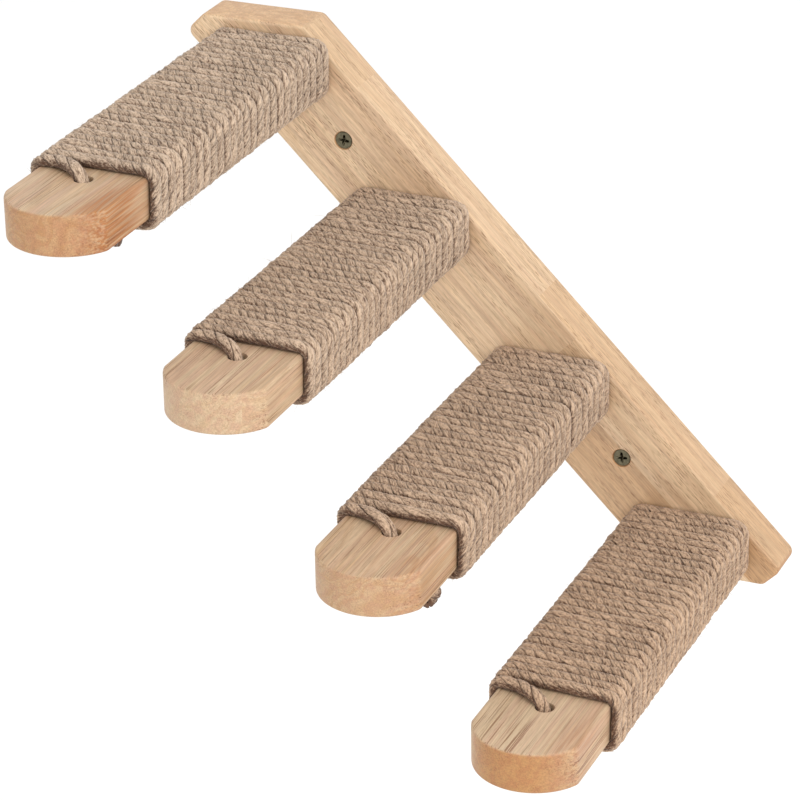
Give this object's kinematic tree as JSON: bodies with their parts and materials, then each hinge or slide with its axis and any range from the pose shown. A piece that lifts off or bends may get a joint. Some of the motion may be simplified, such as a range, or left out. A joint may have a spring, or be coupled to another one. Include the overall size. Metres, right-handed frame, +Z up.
{
  "type": "cat wall ladder",
  "caption": "Slanted wooden backboard screwed to a wall, carrying rope-wrapped wooden steps that a cat climbs.",
  "frame": {"origin": "centre of the backboard's back face, on the wall", "axes": "+Y into the wall, +Z up, +X to the right along the wall; the steps point towards -Y"},
  "size_m": [0.2838, 0.2705, 0.237],
  "materials": {
    "rubberwood_board": "satin",
    "rubberwood_plank": "satin",
    "jute_rope": "matte",
    "screw_steel": "satin"
  },
  "bodies": {
    "root": {"backboard": "rubberwood_board", "step_1": "rubberwood_plank", "rope_wrap_1": "jute_rope", "step_1_screw_left": "screw_steel", "step_1_screw_right": "screw_steel", "step_2": "rubberwood_plank", "rope_wrap_2": "jute_rope", "step_2_screw_left": "screw_steel", "step_2_screw_right": "screw_steel", "step_3": "rubberwood_plank", "rope_wrap_3": "jute_rope", "step_3_screw_left": "screw_steel", "step_3_screw_right": "screw_steel", "step_4": "rubberwood_plank", "rope_wrap_4": "jute_rope", "step_4_screw_left": "screw_steel", "step_4_screw_right": "screw_steel", "wall_screw_upper": "screw_steel", "wall_screw_lower": "screw_steel"}
  },
  "joints": []
}
